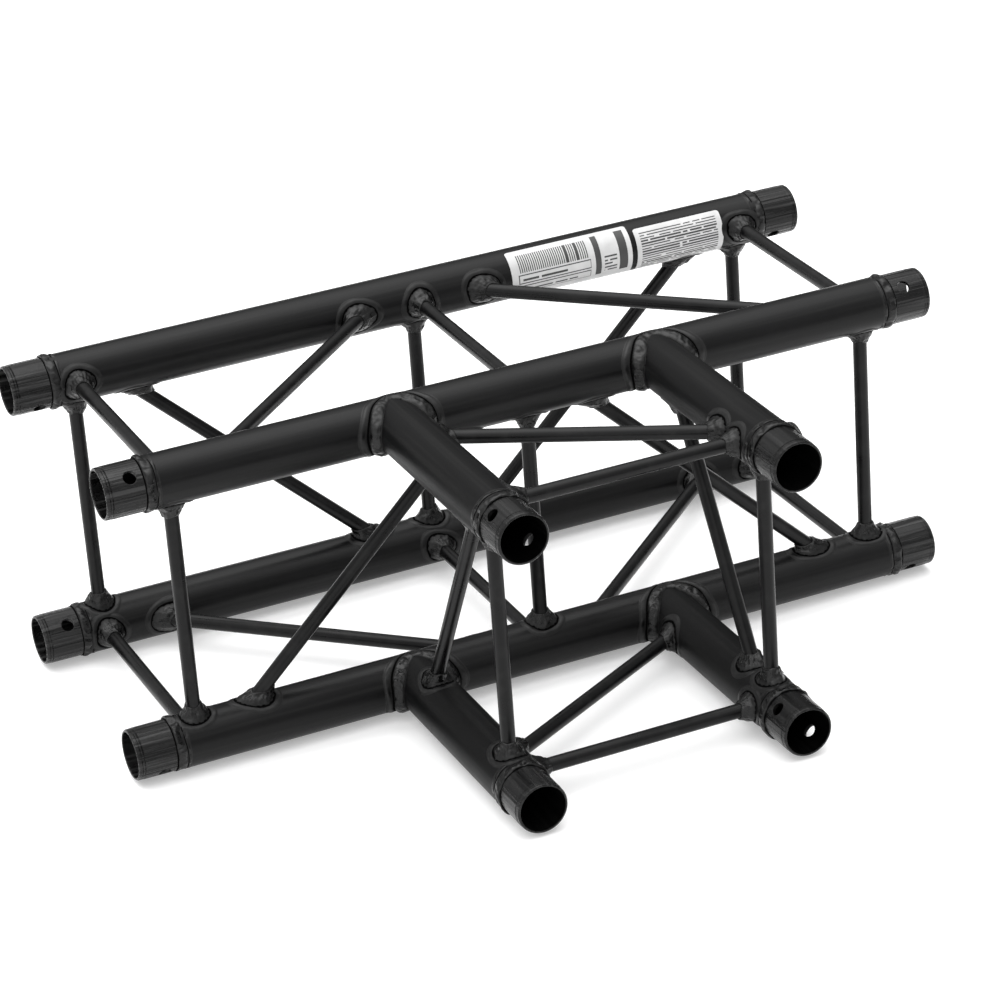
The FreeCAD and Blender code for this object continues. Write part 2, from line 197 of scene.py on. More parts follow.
def lumps(points, size, seed):
    """Smooth random heights from -1 to 1 with features of this size."""
    shift = Vector((seed * 7.31, seed * 3.17, seed * 5.53))
    flat = points.reshape(-1, 3) / size
    heights = [noise.noise(Vector(p) + shift) for p in flat.tolist()]
    return np.array(heights).reshape(points.shape[:-1])


def ripples(phase):
    """Overlapping crescents: rounded crests with sharp valleys, 0 to 1."""
    part = phase - np.floor(phase)
    return np.sqrt(np.maximum(1 - (2 * part - 1) ** 2, 0))


def unit(array):
    """Vectors along the last axis, at length one."""
    return array / np.linalg.norm(array, axis=-1, keepdims=True)


# ---------------------------------------------------------------- welds at brace ends

# How far a bead spreads on the chord from the bar, and how far it climbs the bar.
BEAD_LEG = 5.3 * MM
BEAD_RISE = 7.8 * MM
BEAD_SPOKES = 80
# The weld's apron from its outer edge inwards: reach in legs from the bar, height in mm, and painted
# crevice shade.
APRON = (
    (2.02, -0.05, 0.1), (1.98, 0.03, 0.45), (1.92, 0.09, 0.6), (1.86, 0.20, 0.55), (1.79, 0.34, 0.4),
    (1.71, 0.46, 0.25), (1.62, 0.54, 0.2), (1.52, 0.57, 0.2), (1.42, 0.55, 0.25), (1.32, 0.49, 0.4),
    (1.22, 0.38, 0.7), (1.13, 0.22, 1.0), (1.04, 0.22, 1.0),
)
APRON_OUTER_ROWS = 4
BEAD_STEPS = 20
BEAD_LUMP = 1.25 * MM


def brace_bead(centre, way, chord, seed):
    """The weld round one end of a brace: a grid of rings from its apron up to the bar.

    centre is where the brace's axis meets the chord's, and way runs along the brace.
    """
    along = chord.way
    if way @ along < 0:
        along = -along
    lean = way @ along
    out = way - lean * along
    rise = np.linalg.norm(out)
    out = out / rise
    side = np.cross(along, out)
    bar_along = (along - lean * way) / rise
    turn = np.linspace(0, 2 * math.pi, BEAD_SPOKES, endpoint=False)
    cos, sin = np.cos(turn), np.sin(turn)

    radial = cos[:, None] * bar_along + sin[:, None] * side
    ring = BAR_RADIUS * radial
    climb = (np.sqrt(TUBE_RADIUS ** 2 - (ring @ side) ** 2) - ring @ out) / rise
    root = ring + climb[:, None] * way
    root_x = root @ along
    root_y = TUBE_RADIUS * np.arctan2(root @ side, root @ out)
    leg = BEAD_LEG * (1 + 0.09 * np.sin(turn * 2 + seed) + 0.08 * np.sin(turn * 3 + 2.1 * seed))
    foot_x = TUBE_RADIUS * lean / rise + (BAR_RADIUS / rise + leg) * cos
    foot_y = (BAR_RADIUS + leg) * sin
    count = 15 + seed % 4
    spin = turn * count / (2 * math.pi) + 0.37 * seed

    def between(reach, height):
        """Points on the chord at reach times the leg from the bar, and the chord's normals there."""
        x = root_x + reach * (foot_x - root_x)
        angle = (root_y + reach * (foot_y - root_y)) / TUBE_RADIUS
        normal = np.cos(angle)[:, None] * out + np.sin(angle)[:, None] * side
        return centre + x[:, None] * along + normal * (TUBE_RADIUS + height)[:, None], normal

    rows = []
    shades = []
    # The apron's crevice values paint shade at its rim and into the groove at the bead's foot, and leave
    # the pad between a little darker and duller.
    for reach, lift, painted_dark in APRON:
        wobble = 0.10 * MM * np.sin(turn * 7 + seed) * (lift > 0.3)
        height = np.full(BEAD_SPOKES, lift * MM) + wobble
        rows.append(between(reach, height)[0])
        shades.append(np.full(BEAD_SPOKES, painted_dark))
    top = BEAD_RISE * (1 + 0.12 * np.sin(turn + seed * 1.7) + 0.05 * np.sin(4 * turn + seed))
    for step in range(BEAD_STEPS + 1):
        t = step / BEAD_STEPS
        reach = (1 - t) ** 1.6
        up = t ** 1.55
        skin, normal = between(reach, np.zeros(BEAD_SPOKES))
        outward = unit((1 - t) * normal + (0.25 + t) * radial)
        scallop = ripples(spin + 1.1 * (t - 0.45) ** 2)
        crown = 0.45 + 1.0 * math.sin(math.pi * t) ** 0.7 + 0.25 * t
        height = crown + 0.26 * (scallop - 0.75) * min(1, 4 * t + 0.3)
        rows.append(skin + (up * top)[:, None] * way + outward * (height * MM)[:, None])
        # Painted shade in the valleys between ripples and at the bead's foot.
        shades.append(0.22 * (1 - scallop) ** 1.5 + 0.9 * (1 - t) ** 7)
    # A lip closes the bead's top end, with painted shade under it.
    rows.append(rows[-1] - radial * 0.55 * MM + way * 0.25 * MM)
    rows.append(rows[-1] - radial * 0.6 * MM - way * 0.05 * MM)
    shades += [np.full(BEAD_SPOKES, 0.9)] * 2
    grid = np.array(rows)
    rough = 0.75 * lumps(grid, 4.6 * MM, seed) + 0.25 * lumps(grid, 1.9 * MM, seed + 3)
    weight = np.ones(len(rows))
    weight[:APRON_OUTER_ROWS] = 0
    weight[APRON_OUTER_ROWS:len(APRON)] = 0.35
    weight[-3:] = (0.3, 0.1, 0)
    push = unit(grid - (centre + way * (TUBE_RADIUS / rise)))
    return grid + push * (rough * weight[:, None] * BEAD_LUMP)[..., None], np.array(shades)


BRACE_NODES = sorted(
    name for name in nodes
    if any(word in name for word in ("_post", "_bar", "_diagonal"))
)
# A chord's centre line is at most this far past a brace's end; a chord further on isn't welded to it.
PAST_END = 40 * MM


def build_brace_beads(paints):
    """The weld beads of every brace, one piece for each CAD group of welds."""
    groups = {}
    seed = 0
    for name in BRACE_NODES:
        face = name.split("_")[0]
        middle, way = brace_line(name)
        half_span = np.abs((vertices(name) - middle) @ way).max()
        for chord in chords.values():
            centre = crossing(middle, way, chord)
            if centre is None or np.linalg.norm(centre - middle) > half_span + PAST_END:
                continue
            seed += 1
            inward = unit(middle - centre)
            groups.setdefault(face, []).append(brace_bead(centre, inward, chord, seed))
    for face, grids in groups.items():
        weld_piece("weld_beads_" + face, grids, paints, "brace_welds_" + face)


# ---------------------------------------------------------------- ring welds

# A ring weld's reach over the coupler and over the tube, and its height above the tube.
RING_FRONT = 4.5 * MM
RING_BACK = {"main": 4.5 * MM, "branch": 7.0 * MM}
RING_PROUD = 1.5 * MM
RING_LUMP = 2.0 * MM
RING_SPOKES = 168
# The crown of the bead ends at this place along the section, and its toe ring starts.
CROWN_END = 0.4
# Section of a ring weld from the coupler to the tube: place from -1 to 1, height, and painted crevice
# shade.
RING_SECTION = (
    (-1.16, -0.05, 0.6), (-1.14, 0.02, 1.0), (-1.02, 0.02, 1.0), (-0.99, 0.16, 1.0), (-0.975, 0.36, 1.0),
    (-0.95, 0.56, 0.6), (-0.90, 0.76, 0.1), (-0.80, 0.90, 0.0), (-0.66, 0.98, 0.0), (-0.46, 1.0, 0.0),
    (-0.22, 0.98, 0.0), (0.0, 0.88, 0.0), (0.18, 0.68, 0.05), (0.32, 0.40, 0.6), (0.41, 0.20, 1.0),
    (0.49, 0.16, 1.0), (0.55, 0.26, 0.7), (0.62, 0.42, 0.1), (0.72, 0.52, 0.0), (0.83, 0.44, 0.0),
    (0.92, 0.24, 0.3), (0.98, 0.10, 0.6), (1.06, 0.03, 0.5), (1.14, -0.01, 0.1),
)


def ring_bead(joint, inward, back, seed):
    """The fat bead between coupler and tube; inward runs from the coupler into the tube."""
    side = unit(np.cross(inward, UP))
    other = np.cross(inward, side)
    turn = np.linspace(0, 2 * math.pi, RING_SPOKES, endpoint=False)
    spoke = np.cos(turn)[:, None] * side + np.sin(turn)[:, None] * other
    count = 19 + seed % 4
    wander = 0.35 * MM * np.sin(2 * turn + seed) + 0.25 * MM * np.sin(5 * turn + 2 * seed)
    rows = []
    shades = []
    for place, lift, painted_dark in RING_SECTION:
        base = COUPLER_RADIUS if place < 0 else TUBE_RADIUS
        scallop = ripples(turn * count / (2 * math.pi) + 0.6 * place ** 2 + 0.29 * seed)
        crown = place < CROWN_END
        swell = 0.86 + 0.14 * scallop if crown else 0.85 + 0.15 * np.sin(7 * turn + seed)
        if lift <= 0.05:
            swell = np.ones(RING_SPOKES)
        radius = base + (TUBE_RADIUS + RING_PROUD - base) * lift * swell
        spread = RING_FRONT if place < 0 else back
        move = spread * place + wander * max(0.0, 1 - abs(place)) ** 0.5
        rows.append(joint + inward * move[:, None] + spoke * radius[:, None])
        # Painted shade: the section's crevice values, and darker valleys between the crown's ripples.
        shades.append(np.maximum(painted_dark, 0.35 * (1 - scallop) ** 1.5 * crown * (lift > 0.3)))
    grid = np.array(rows)
    weight = np.clip(np.array([lift for _, lift, _ in RING_SECTION]) * 1.6 - 0.1, 0, 1)
    rough = np.minimum(lumps(grid, 6.5 * MM, seed + 40), 0.18) - 0.18
    fine = 0.3 * (np.minimum(lumps(grid, 2.4 * MM, seed + 43), 0.2) - 0.2)
    grid = grid + spoke[None] * ((rough + fine) * weight[:, None] * RING_LUMP)[..., None]
    return grid, np.array(shades)


def build_ring_beads(paints):
    """The twelve ring welds, in two pieces like the CAD groups."""
    groups = {"upper": [], "lower": []}
    seed = 0
    for name in MAIN_CHORDS:
        level = "upper" if name.startswith("top") else "lower"
        low, high = box("main_chord_" + name)
        for x, inward in ((low[0], RIGHT), (high[0], -RIGHT)):
            joint = np.array([x, *chords[name].start[1:]])
            seed += 1
            groups[level].append(ring_bead(joint, inward, RING_BACK["main"], seed))
    for name in BRANCH_CHORDS:
        level = "upper" if name.startswith("top") else "lower"
        middle = chords[name].start
        joint = np.array([middle[0], box("branch_chord_" + name)[0][1], middle[2]])
        seed += 1
        groups[level].append(ring_bead(joint, -FRONT, RING_BACK["branch"], seed))
    for level, grids in groups.items():
        weld_piece("ring_beads_" + level, grids, paints, "ring_welds_" + level)


# ---------------------------------------------------------------- saddle welds

SADDLE_SPOKES = 224
# The seam is rounded where the branch tube crosses the top and bottom of the chord.
SADDLE_SOFTNESS = 0.2
# Section of a saddle weld's apron on the chord: reach in legs from the seam, height in mm, and painted
# crevice shade.
SADDLE_APRON = (
    (2.20, 0.00, 0.0), (2.12, 0.03, 0.35), (2.04, 0.07, 0.55), (1.96, 0.20, 0.5), (1.88, 0.40, 0.3),
    (1.78, 0.56, 0.1), (1.66, 0.58, 0.1), (1.50, 0.48, 0.2), (1.36, 0.34, 0.6), (1.24, 0.28, 1.0),
)
SADDLE_OUTER_ROWS = 4
SADDLE_STEPS = 16
SADDLE_LUMP = 0.9 * MM


def project(points, axis, radius):
    """Points moved straight out or in to a cylinder round an axis through the origin."""
    run = (points @ axis)[:, None] * axis
    return run + unit(points - run) * np.reshape(radius, (-1, 1))


def saddle_bead(chord, seed):
    """The bead where a branch tube sits on the front chord, with its apron on the chord."""
    turn = np.linspace(0, 2 * math.pi, SADDLE_SPOKES, endpoint=False)
    cos, sin = np.cos(turn), np.sin(turn)
    depth = TUBE_RADIUS * (np.sqrt(sin ** 2 + SADDLE_SOFTNESS ** 2) - SADDLE_SOFTNESS)
    tube_normal = sin[:, None] * RIGHT + cos[:, None] * UP
    seam = TUBE_RADIUS * tube_normal + depth[:, None] * FRONT
    seam = project(seam, RIGHT, TUBE_RADIUS)
    chord_normal = unit(seam - (seam @ RIGHT)[:, None] * RIGHT)
    tangent = unit(np.roll(seam, -1, 0) - np.roll(seam, 1, 0))
    outward = unit(np.cross(chord_normal, tangent))
    outward *= np.where((outward @ -FRONT) + (outward * tube_normal).sum(1) < 0, -1, 1)[:, None]
    middle = unit(tube_normal + chord_normal)
    flank = np.abs(sin)
    uneven = 1 + 0.07 * np.sin(3 * turn + seed) + 0.05 * np.sin(7 * turn + seed)
    leg = MM * (3.6 + 2.2 * flank) * uneven
    length = np.linalg.norm(np.roll(seam, -1, 0) - seam, axis=1)
    travel = np.concatenate([[0], np.cumsum(length)[:-1]]) / length.sum()
    count = 24 + seed % 3

    rows = []
    shades = []
    for reach, lift, painted_dark in SADDLE_APRON:
        rows.append(project(seam + outward * (leg * reach)[:, None], RIGHT, TUBE_RADIUS + lift * MM))
        shades.append(np.full(SADDLE_SPOKES, painted_dark))
    outer = project(seam + outward * leg[:, None], RIGHT, TUBE_RADIUS + 0.25 * MM)
    inner = project(seam + FRONT * leg[:, None], FRONT, TUBE_RADIUS)
    for step in range(SADDLE_STEPS + 1):
        t = step / SADDLE_STEPS
        scallop = ripples(travel * count + 0.7 * (t - 0.5) ** 2)
        proud = (1.15 + 0.9 * flank) * MM * (0.76 + 0.24 * scallop) * (4 * t * (1 - t)) ** 0.55
        rows.append(outer * (1 - t) + inner * t + middle * proud[:, None])
        # Painted shade in the valleys between ripples and along both edges of the bead.
        shades.append(0.4 * (1 - scallop) ** 1.5 + 0.9 * abs(2 * t - 1) ** 8)
    # The last ring tucks into the seam, with black painted shade.
    rows.append(inner + FRONT[None] * 0.5 * MM - tube_normal * 0.3 * MM)
    shades.append(np.full(SADDLE_SPOKES, 1.0))
    grid = np.array(rows)
    rough = np.minimum(1.5 * lumps(grid, 5 * MM, seed + 70), 0.35) - 0.15
    fine = 0.45 * lumps(grid, 2.4 * MM, seed + 73)
    weight = np.full(len(rows), 0.2)
    weight[:SADDLE_OUTER_ROWS] = 0
    weight[len(SADDLE_APRON):] = np.sin(np.linspace(0.15, math.pi - 0.1, SADDLE_STEPS + 2))
    weight[-1] = 0
    grid = grid + middle[None] * ((rough + fine) * weight[:, None] * SADDLE_LUMP)[..., None]
    top = TUBE_RADIUS + RING_PROUD
    grid[..., 2] = np.clip(grid[..., 2], -top, top)
    return grid + chord.start, np.array(shades)


def build_saddle_beads(paints):
    """The four saddle welds of the branch."""
    grids = [saddle_bead(chords[name], 11 * index) for index, name in enumerate(BRANCH_CHORDS)]
    weld_piece("saddle_beads", grids, paints, "saddle_welds")


# ---------------------------------------------------------------- couplers

COUPLER_SPOKES = 144
# Each pin hole sits in a patch left out of the grid: columns to each side, and rows along the coupler.
HOLE_COLUMNS = 10
HOLE_RADIUS = 4.25 * MM
HOLE_SETBACK = 18.0 * MM
HOLE_ROW = 0.75 * MM
HOLE_ROWS = 20
# Rings from the patch's border to the hole's wall: share of the way, and the rounded edge's growth
# beyond the hole's radius and depth below the surface, mm.
HOLE_RINGS = (
    (0.30, 0, 0), (0.58, 0, 0), (0.80, 0, 0),
    (1.0, 0.45, 0), (1.0, 0.26, 0.03), (1.0, 0.08, 0.16), (1.0, 0.0, 0.42),
)
# The coupler outside its tube, from tip to tube end, and the last ring of its outside before that.
COUPLER_LENGTH = 31.0 * MM
LAST_RING = 27.5 * MM
# The socket: a straight land at the mouth, then a taper; the shank is what sits in the tube.
MOUTH_RADIUS = 15.2 * MM
TAPER_RADIUS = 13.2 * MM
TAPER_END = 38.0 * MM
SOCKET_LAND = 4.5 * MM
SHANK_RADIUS = 15.8 * MM
SHANK_END = 45.0 * MM
# Outside of a coupler from its mouth inwards: depth and distance below the coupler's surface, mm.
OUTSIDE = (
    (0.00, 1.45), (0.02, 1.15), (0.16, 0.85), (0.42, 0.55), (0.75, 0.28), (1.05, 0.20), (1.60, 0.18),
    (2.30, 0.18), (2.42, 0.34), (2.60, 0.46), (2.78, 0.34), (2.90, 0.18), (3.50, 0.16), (4.10, 0.18),
    (4.24, 0.34), (4.42, 0.40), (4.58, 0.20), (4.72, 0.02), (5.60, 0.0), (7.0, 0.0), (8.8, 0.0),
)
# Depths of the bore's rings beyond the pin holes, from the shank's end outwards.
BORE_DEEP = (SHANK_END, 41 * MM, TAPER_END, 34 * MM, 29 * MM)
# Depths of its rings between the pin holes and the mouth, mm.
BORE_NEAR = (8.0, 5.5, 4.5, 3.0, 1.2, 0.55)
# The rounded inner edge of the mouth: depth and distance outside the mouth's radius, mm.
MOUTH_EDGE = ((0.22, 0.08), (0.05, 0.25), (0.0, 0.42))


def bore(z):
    """The radius of a coupler's tapered socket at this depth."""
    if z <= SOCKET_LAND:
        return MOUTH_RADIUS
    share = min(1.0, (z - SOCKET_LAND) / (TAPER_END - SOCKET_LAND))
    return MOUTH_RADIUS + share * (TAPER_RADIUS - MOUTH_RADIUS)


def patch_border():
    """The border of a pin hole's patch as (row, column) from its first corner round."""
    border = [(0, column) for column in range(-HOLE_COLUMNS, HOLE_COLUMNS)]
    border += [(row, HOLE_COLUMNS) for row in range(HOLE_ROWS)]
    border += [(HOLE_ROWS, column) for column in range(HOLE_COLUMNS, -HOLE_COLUMNS, -1)]
    border += [(row, -HOLE_COLUMNS) for row in range(HOLE_ROWS, 0, -1)]
    return border


def build_coupler(name, tip, inward, hole_way, material, bore_material):
    """A turned coupler with a rounded rim, a scored band, a tapered socket and a deburred pin hole."""
    side = np.cross(inward, hole_way)
    first_row = HOLE_SETBACK - HOLE_ROW * HOLE_ROWS / 2
    band = [first_row + HOLE_ROW * row for row in range(HOLE_ROWS + 1)]
    outside = [(z * MM, COUPLER_RADIUS - drop * MM) for z, drop in OUTSIDE]
    outside += [(z, COUPLER_RADIUS) for z in band]
    outside += [(LAST_RING, COUPLER_RADIUS), (COUPLER_LENGTH, COUPLER_RADIUS)]
    outside += [(COUPLER_LENGTH, SHANK_RADIUS), (SHANK_END, SHANK_RADIUS)]
    inside = [(z, bore(z)) for z in BORE_DEEP]
    inside += [(z, bore(z)) for z in reversed(band)]
    inside += [(z * MM, bore(z * MM)) for z in BORE_NEAR]
    inside += [(z * MM, MOUTH_RADIUS + more * MM) for z, more in MOUTH_EDGE]
    outline = inside + outside
    turn = np.linspace(0, 2 * math.pi, COUPLER_SPOKES, endpoint=False)
    points = []
    for z, radius in outline:
        spoke = np.cos(turn)[:, None] * hole_way + np.sin(turn)[:, None] * side
        points += (tip + inward * z + spoke * radius).tolist()
    rows = len(outline)

    def index(row, column):
        return (row % rows) * COUPLER_SPOKES + column % COUPLER_SPOKES

    out_first = len(inside) + len(OUTSIDE)
    in_first = len(BORE_DEEP)
    faces = []
    tones = []

    def pierced(row, column):
        near = (column + HOLE_COLUMNS) % (COUPLER_SPOKES // 2) < 2 * HOLE_COLUMNS
        return near and any(first <= row < first + HOLE_ROWS for first in (out_first, in_first))

    for row in range(rows):
        for column in range(COUPLER_SPOKES):
            if pierced(row, column):
                continue
            near, far = index(row, column), index(row, column + 1)
            faces.append((near, far, index(row + 1, column + 1), index(row + 1, column)))
            tones.append(1 if row < len(inside) - len(MOUTH_EDGE) else 0)

    border = patch_border()
    turns = [(k, (k + 1) % len(border)) for k in range(len(border))]
    for flip, middle_column in ((1, 0), (-1, COUPLER_SPOKES // 2)):
        rims = []
        for outer_side in (True, False):
            surface = (lambda z: COUPLER_RADIUS) if outer_side else bore
            sign = -1 if outer_side else 1
            previous = []
            for row, column in border:
                grid_row = out_first + row if outer_side else in_first + HOLE_ROWS - row
                previous.append(index(grid_row, middle_column + column))
            for share, grow, sink in HOLE_RINGS:
                current = []
                for row, column in border:
                    across = surface(band[row]) * math.sin(2 * math.pi * column / COUPLER_SPOKES)
                    deep = band[row] - HOLE_SETBACK
                    angle = math.atan2(across, deep)
                    reach = HOLE_RADIUS + grow * MM
                    x = across + share * (reach * math.sin(angle) - across)
                    z = deep + share * (reach * math.cos(angle) - deep)
                    skin = surface(HOLE_SETBACK + z) + sign * sink * MM
                    tall = math.sqrt(skin ** 2 - x ** 2)
                    spot = tip + inward * (HOLE_SETBACK + z) + (side * x + hole_way * tall) * flip
                    current.append(len(points))
                    points.append(spot.tolist())
                for k, after in turns:
                    quad = (previous[k], previous[after], current[after], current[k])
                    faces.append(quad if outer_side else quad[::-1])
                    tones.append(0 if outer_side else 1)
                previous = current
            rims.append(previous)
        for k, after in turns:
            faces.append((rims[0][k], rims[0][after], rims[1][after], rims[1][k]))
            tones.append(1)
    mesh = bpy.data.meshes.new("coupler_shell_" + name)
    mesh.from_pydata(points, [], faces)
    mesh.materials.append(material)
    mesh.materials.append(bore_material)
    mesh.polygons.foreach_set("material_index", tones)
    mesh.polygons.foreach_set("use_smooth", [True] * len(faces))
    mesh.set_sharp_from_angle(angle=math.radians(50))
    make_outward(mesh)
    add_piece("coupler_shell_" + name, mesh, "coupler_" + name)


def make_outward(mesh):
    """Turns every face of a closed mesh to point outwards."""
    work = bmesh.new()
    work.from_mesh(mesh)
    bmesh.ops.recalc_face_normals(work, faces=work.faces)
    work.to_mesh(mesh)
    work.free()


def build_couplers(paints):
    """The twelve couplers; paints gives the outside and bore material for each direction."""
    toward = {"back": -FRONT, "front": FRONT, "left": -RIGHT, "right": RIGHT, "top": UP, "bottom": -UP}
    for name in (*MAIN_CHORDS, *BRANCH_CHORDS):
        level, sideways = name.split("_")
        hole_way = unit(toward[level] + toward[sideways])
        chord = chords[name]
        far_tip = chord.start + chord.way * chord.length
        if name in MAIN_CHORDS:
            build_coupler(name + "_left", chord.start, RIGHT, hole_way, *paints["x"])
            build_coupler(name + "_right", far_tip, -RIGHT, hole_way, *paints["x"])
        else:
            build_coupler("branch_" + name, far_tip, -FRONT, hole_way, *paints["y"])


# ---------------------------------------------------------------- printed labels

LABEL_CELL = 0.40 * MM
LABEL_CORNER = 2.0 * MM
LABEL_THICKNESS = 0.25 * MM
# The film's underside stays this far off the tube, so that the two don't share a surface.
LABEL_LIFT = 0.02 * MM
STRIPE_WIDTH = 0.8
FRAME_WIDTH = 0.5


def within(u, v, area):
    """Whether a place on a label lies in an area (u0, v0, u1, v1), in mm."""
    u0, v0, u1, v1 = area
    return u0 <= u <= u1 and v0 <= v <= v1


def bars(u, v, area, lines, density, seed):
    """Ruled rows of short bars inside an area: a stand-in for lines of print."""
    if not within(u, v, area):
        return False
    _, v0, _, v1 = area
    row = (v - v0) / (v1 - v0) * lines
    if row % 1 > 0.5:
        return False
    word = noise.cell(Vector((u * 0.55, math.floor(row) * 3.7, seed)))
    return word < density


def stripes(u, v, area, seed):
    """Upright stripes of several widths inside an area."""
    if not within(u, v, area):
        return False
    place = math.floor(u / STRIPE_WIDTH)
    return place % 2 == 0 or noise.cell(Vector((place + 0.5, 0.5, seed))) > 0.88


def frame_line(u, v, area):
    """The outline of an area."""
    u0, v0, u1, v1 = area
    return within(u, v, area) and min(u - u0, u1 - u, v - v0, v1 - v) < FRAME_WIDTH


def long_print(u, v):
    """What is printed on the long label; u runs right and v up from its lower left corner, in mm."""
    if stripes(u, v, (6, 22.5, 59, 35.5), 3):
        return True
    if frame_line(u, v, (5, 14.5, 60, 21)) or frame_line(u, v, (5, 7, 60, 13)):
        return True
    if bars(u, v, (8, 16.4, 42, 19.4), 1, 0.7, 5) or bars(u, v, (8, 8.8, 50, 11.4), 1, 0.75, 8):
        return True
    if 7 < v < 37 and (63.5 < u < 68 or 82 < u < 88.5):
        return True
    return bars(u, v, (70.5, 9, 80, 22), 5, 0.75, 12)


def short_print(u, v):
    """What is printed on the short label."""
    return bars(u, v, (3.5, 3.5, 63, 32), 15, 0.82, 21)


def label_piece(name, print_at, film, ink):
    """A film label with rounded corners, wrapped round its tube, with its print as its own faces."""
    low, high = box("label_" + name)
    chord = chords["top_back"]
    centre = chord.start[1:]
    radius = TUBE_RADIUS + LABEL_THICKNESS
    ring = vertices("label_" + name)[:, 1:] - centre
    angles = np.arctan2(ring[:, 1], -ring[:, 0])
    bottom, top = angles.min(), angles.max()
    columns = round((high[0] - low[0]) / LABEL_CELL)
    height = (top - bottom) * radius
    rows = round(height / LABEL_CELL)
    across = np.linspace(0, high[0] - low[0], columns + 1)
    tall = np.linspace(0, height, rows + 1)
    points = []
    for skin in (radius, TUBE_RADIUS + LABEL_LIFT):
        for v in tall:
            edge = min(v, height - v)
            inset = 0.0
            if edge < LABEL_CORNER:
                inset = LABEL_CORNER - math.sqrt(LABEL_CORNER ** 2 - (LABEL_CORNER - edge) ** 2)
            angle = bottom + v / radius
            y = centre[0] - skin * math.cos(angle)
            z = centre[1] + skin * math.sin(angle)
            for u in across:
                share = u / across[-1]
                points.append((low[0] + inset + share * (across[-1] - 2 * inset), y, z))
    faces = []
    inks = []
    wide = columns + 1
    count = (rows + 1) * wide
    for row in range(rows):
        for column in range(columns):
            a = row * wide + column
            faces.append((a, a + 1, a + 1 + wide, a + wide))
            u = (across[column] + across[column + 1]) / 2 / MM
            v = (tall[row] + tall[row + 1]) / 2 / MM
            inks.append(1 if print_at(u, v) else 0)
            faces.append((count + a, count + a + wide, count + a + 1 + wide, count + a + 1))
            inks.append(0)
    border = list(range(columns))
    border += [row * wide + columns for row in range(rows)]
    border += [rows * wide + column for column in range(columns, 0, -1)]
    border += [row * wide for row in range(rows, 0, -1)]
    for k, a in enumerate(border):
        b = border[(k + 1) % len(border)]
        faces.append((a, count + a, count + b, b))
        inks.append(0)
    mesh = bpy.data.meshes.new("film_" + name)
    mesh.from_pydata(points, [], faces)
    mesh.materials.append(film)
    mesh.materials.append(ink)
    mesh.polygons.foreach_set("material_index", inks)
    mesh.polygons.foreach_set("use_smooth", [True] * len(faces))
    mesh.set_sharp_from_angle(angle=math.radians(40))
    make_outward(mesh)
    add_piece("film_" + name, mesh, "label_" + name)


# ---------------------------------------------------------------- materials

def new_material(name):
    """A node material, with its tree and its shader."""
    material = bpy.data.materials.new(name)
    material.use_nodes = True
    tree = material.node_tree
    shader = tree.nodes["Principled BSDF"]
    return material, tree, shader


def add_node(tree, kind, **values):
    """A node with its inputs set by name."""
    made = tree.nodes.new(kind)
    for socket, value in values.items():
        made.inputs[socket.replace("_", " ")].default_value = value
    return made


# The blackest tone: painted shade, which a weld's crevices take.
PAINTED_CREVICE_BLACK = (0.0006, 0.0006, 0.0006)


